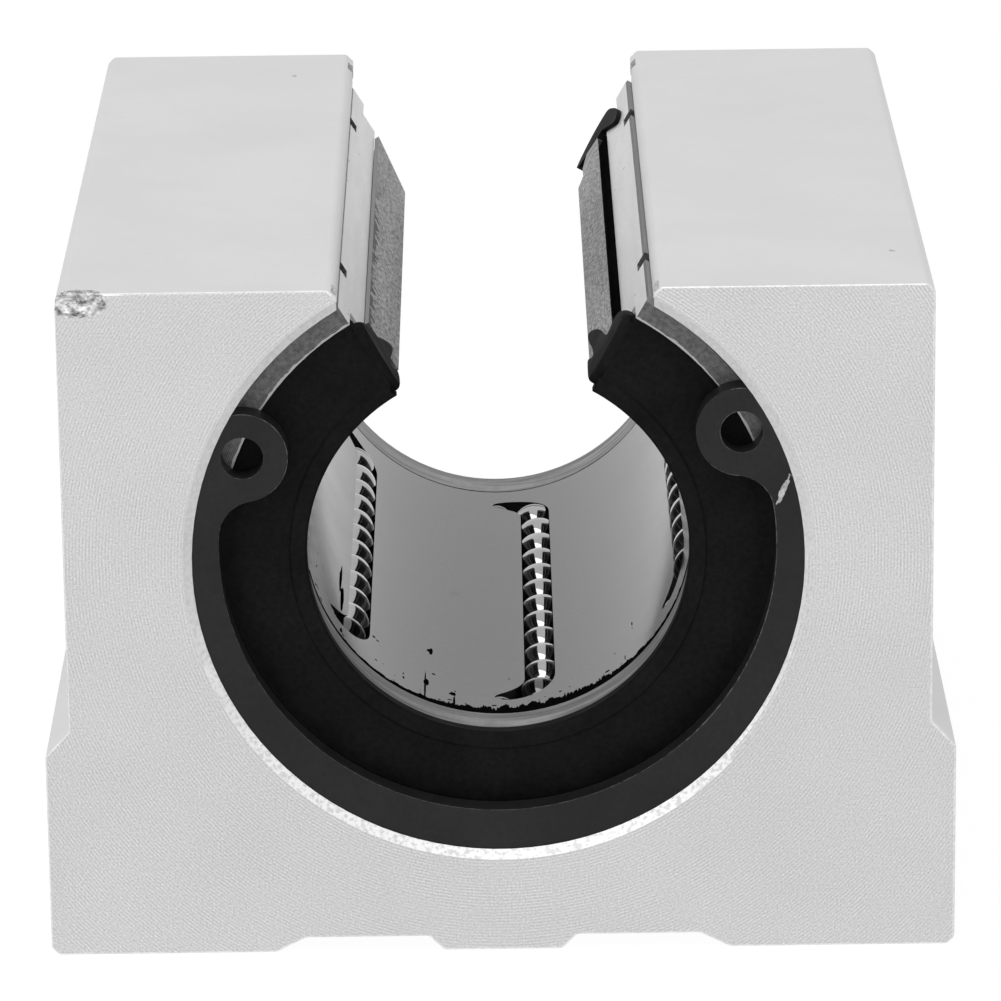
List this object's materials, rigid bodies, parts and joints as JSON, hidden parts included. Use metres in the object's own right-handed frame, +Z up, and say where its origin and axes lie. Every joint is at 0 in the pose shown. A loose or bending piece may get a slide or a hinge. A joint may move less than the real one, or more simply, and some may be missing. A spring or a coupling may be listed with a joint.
{
  "type": "linear bearing block",
  "caption": "Open pillow block with a recirculating-ball linear bearing for a round shaft, slotted along its top and tapped from below.",
  "frame": {"origin": "middle of the mounting face, under the shaft's axis", "axes": "+Z up from the mounting face, +Y along the shaft to the rear, +X to the right seen from the front"},
  "size_m": [0.06, 0.065, 0.0456],
  "materials": {
    "block": "light silver anodised extrusion with fine-turned end faces",
    "sleeve": "hardened and ground steel",
    "cage": "moulded grey plastic",
    "balls": "polished bearing steel",
    "end_ring": "stamped steel",
    "seal": "matt black rubber",
    "clip": "black phosphated spring steel",
    "screw": "black oxide steel"
  },
  "bodies": {
    "block": {"housing": "block", "bearing_sleeve": "sleeve", "ball_retainer": "cage", "end_ring_front": "end_ring", "end_ring_rear": "end_ring", "seal_front": "seal", "seal_rear": "seal", "retaining_ring_front": "clip", "retaining_ring_rear": "clip", "set_screw": "screw"},
    "load_row_1": {"load_row_1": "balls"},
    "return_row_1": {"return_row_1": "balls"},
    "rear_turn_1": {"rear_turn_1": "balls"},
    "front_turn_1": {"front_turn_1": "balls"},
    "load_row_2": {"load_row_2": "balls"},
    "return_row_2": {"return_row_2": "balls"},
    "rear_turn_2": {"rear_turn_2": "balls"},
    "front_turn_2": {"front_turn_2": "balls"},
    "load_row_3": {"load_row_3": "balls"},
    "return_row_3": {"return_row_3": "balls"},
    "rear_turn_3": {"rear_turn_3": "balls"},
    "front_turn_3": {"front_turn_3": "balls"},
    "load_row_4": {"load_row_4": "balls"},
    "return_row_4": {"return_row_4": "balls"},
    "rear_turn_4": {"rear_turn_4": "balls"},
    "front_turn_4": {"front_turn_4": "balls"},
    "load_row_5": {"load_row_5": "balls"},
    "return_row_5": {"return_row_5": "balls"},
    "rear_turn_5": {"rear_turn_5": "balls"},
    "front_turn_5": {"front_turn_5": "balls"}
  },
  "joints": [
    {"name": "load_row_1_slide", "type": "slide", "parent": "block", "child": "load_row_1", "axis": [0, 1, 0], "range_m": [-0.00177, 0.00177]},
    {"name": "return_row_1_slide", "type": "slide", "parent": "block", "child": "return_row_1", "axis": [0, 1, 0], "range_m": [-0.0018, 0.0018]},
    {"name": "rear_turn_1_hinge", "type": "hinge", "parent": "block", "child": "rear_turn_1", "pos_m": [-0.01261, 0.01741, 0.03443], "axis": [0.9549, 0, -0.297], "range_deg": [-31.81, 31.81]},
    {"name": "front_turn_1_hinge", "type": "hinge", "parent": "block", "child": "front_turn_1", "pos_m": [-0.01261, -0.01881, 0.03443], "axis": [0.9549, 0, -0.297], "range_deg": [-31.81, 31.81]},
    {"name": "load_row_2_slide", "type": "slide", "parent": "block", "child": "load_row_2", "axis": [0, 1, 0], "range_m": [-0.00177, 0.00177]},
    {"name": "return_row_2_slide", "type": "slide", "parent": "block", "child": "return_row_2", "axis": [0, 1, 0], "range_m": [-0.0018, 0.0018]},
    {"name": "rear_turn_2_hinge", "type": "hinge", "parent": "block", "child": "rear_turn_2", "pos_m": [-0.01274, 0.01741, 0.01979], "axis": [0.7347, 0, 0.6784], "range_deg": [-31.81, 31.81]},
    {"name": "front_turn_2_hinge", "type": "hinge", "parent": "block", "child": "front_turn_2", "pos_m": [-0.01274, -0.01881, 0.01979], "axis": [0.7347, 0, 0.6784], "range_deg": [-31.81, 31.81]},
    {"name": "load_row_3_slide", "type": "slide", "parent": "block", "child": "load_row_3", "axis": [0, 1, 0], "range_m": [-0.00177, 0.00177]},
    {"name": "return_row_3_slide", "type": "slide", "parent": "block", "child": "return_row_3", "axis": [0, 1, 0], "range_m": [-0.0018, 0.0018]},
    {"name": "rear_turn_3_hinge", "type": "hinge", "parent": "block", "child": "rear_turn_3", "pos_m": [-0.00013, 0.01741, 0.01236], "axis": [-0.2202, 0, 0.9755], "range_deg": [-31.81, 31.81]},
    {"name": "front_turn_3_hinge", "type": "hinge", "parent": "block", "child": "front_turn_3", "pos_m": [-0.00013, -0.01881, 0.01236], "axis": [-0.2202, 0, 0.9755], "range_deg": [-31.81, 31.81]},
    {"name": "load_row_4_slide", "type": "slide", "parent": "block", "child": "load_row_4", "axis": [0, 1, 0], "range_m": [-0.00177, 0.00177]},
    {"name": "return_row_4_slide", "type": "slide", "parent": "block", "child": "return_row_4", "axis": [0, 1, 0], "range_m": [-0.0018, 0.0018]},
    {"name": "rear_turn_4_hinge", "type": "hinge", "parent": "block", "child": "rear_turn_4", "pos_m": [0.01261, 0.01741, 0.01957], "axis": [-0.9549, 0, 0.297], "range_deg": [-31.81, 31.81]},
    {"name": "front_turn_4_hinge", "type": "hinge", "parent": "block", "child": "front_turn_4", "pos_m": [0.01261, -0.01881, 0.01957], "axis": [-0.9549, 0, 0.297], "range_deg": [-31.81, 31.81]},
    {"name": "load_row_5_slide", "type": "slide", "parent": "block", "child": "load_row_5", "axis": [0, 1, 0], "range_m": [-0.00177, 0.00177]},
    {"name": "return_row_5_slide", "type": "slide", "parent": "block", "child": "return_row_5", "axis": [0, 1, 0], "range_m": [-0.0018, 0.0018]},
    {"name": "rear_turn_5_hinge", "type": "hinge", "parent": "block", "child": "rear_turn_5", "pos_m": [0.01274, 0.01741, 0.03421], "axis": [-0.7347, 0, -0.6784], "range_deg": [-31.81, 31.81]},
    {"name": "front_turn_5_hinge", "type": "hinge", "parent": "block", "child": "front_turn_5", "pos_m": [0.01274, -0.01881, 0.03421], "axis": [-0.7347, 0, -0.6784], "range_deg": [-31.81, 31.81]}
  ],
  "couplings": [
    {"joint": "return_row_1_slide", "follows": "load_row_1_slide", "ratio": -1},
    {"joint": "rear_turn_1_hinge", "follows": "load_row_1_slide", "rad_per_m": 308.36},
    {"joint": "front_turn_1_hinge", "follows": "load_row_1_slide", "rad_per_m": 308.36},
    {"joint": "return_row_2_slide", "follows": "load_row_2_slide", "ratio": -1},
    {"joint": "rear_turn_2_hinge", "follows": "load_row_2_slide", "rad_per_m": 308.36},
    {"joint": "front_turn_2_hinge", "follows": "load_row_2_slide", "rad_per_m": 308.36},
    {"joint": "return_row_3_slide", "follows": "load_row_3_slide", "ratio": -1},
    {"joint": "rear_turn_3_hinge", "follows": "load_row_3_slide", "rad_per_m": 308.36},
    {"joint": "front_turn_3_hinge", "follows": "load_row_3_slide", "rad_per_m": 308.36},
    {"joint": "return_row_4_slide", "follows": "load_row_4_slide", "ratio": -1},
    {"joint": "rear_turn_4_hinge", "follows": "load_row_4_slide", "rad_per_m": 308.36},
    {"joint": "front_turn_4_hinge", "follows": "load_row_4_slide", "rad_per_m": 308.36},
    {"joint": "return_row_5_slide", "follows": "load_row_5_slide", "ratio": -1},
    {"joint": "rear_turn_5_hinge", "follows": "load_row_5_slide", "rad_per_m": 308.36},
    {"joint": "front_turn_5_hinge", "follows": "load_row_5_slide", "rad_per_m": 308.36}
  ]
}
